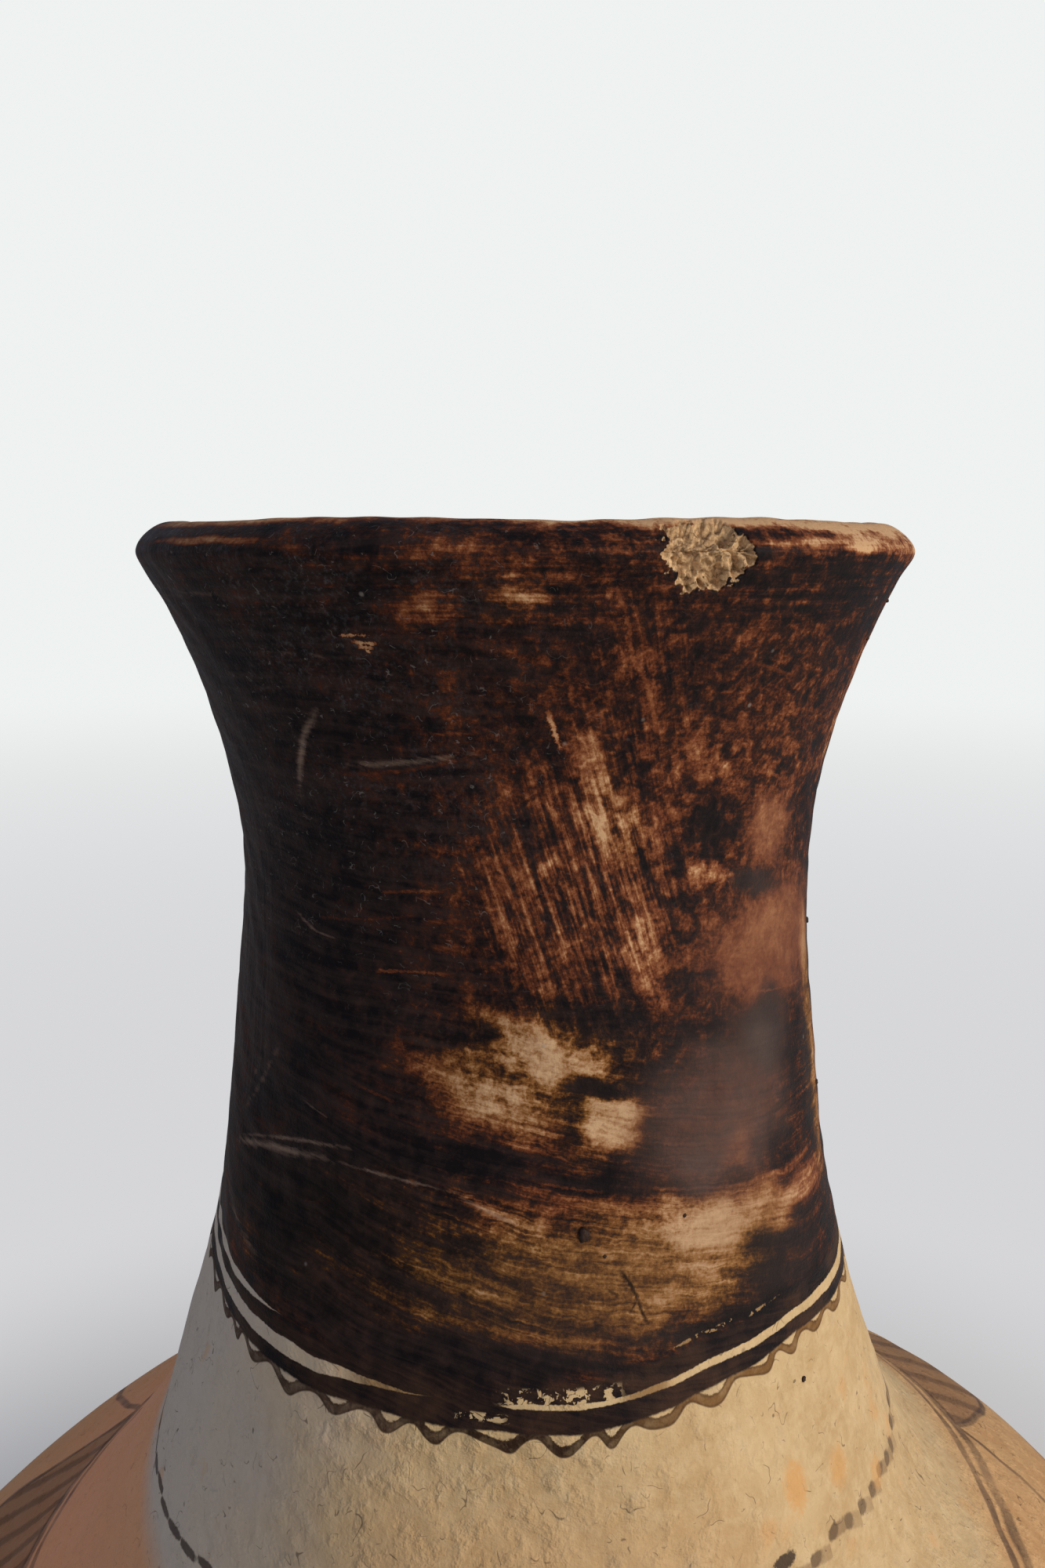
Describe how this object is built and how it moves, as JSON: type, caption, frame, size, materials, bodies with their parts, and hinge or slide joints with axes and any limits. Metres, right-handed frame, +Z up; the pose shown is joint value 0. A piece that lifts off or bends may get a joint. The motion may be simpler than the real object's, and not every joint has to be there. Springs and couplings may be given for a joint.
{
  "type": "terracotta storage jar",
  "caption": "Hand-built terracotta storage jar with a tall waisted neck, a thick flared lip, a wide round belly and a small flat base.",
  "frame": {"origin": "centre of the flat underside of the base, on the surface that the jar stands on", "axes": "+Z up along the jar's axis, -Y towards the side that the picture shows"},
  "size_m": [0.448, 0.448, 0.585],
  "materials": {
    "bare_terracotta": "matte",
    "painted_slip": "matte",
    "dark_paint": "satin"
  },
  "bodies": {
    "root": {"base_disc": "bare_terracotta", "lower_belly_course_1": "bare_terracotta", "lower_belly_course_2": "bare_terracotta", "lower_belly_course_3": "bare_terracotta", "lower_belly_course_4": "bare_terracotta", "upper_belly_course_1": "painted_slip", "upper_belly_course_2": "painted_slip", "shoulder_course_1": "painted_slip", "shoulder_course_2": "painted_slip", "neck_course_1": "dark_paint", "neck_course_2": "dark_paint", "neck_course_3": "dark_paint", "neck_course_4": "dark_paint", "lip_coil": "dark_paint"}
  },
  "joints": []
}
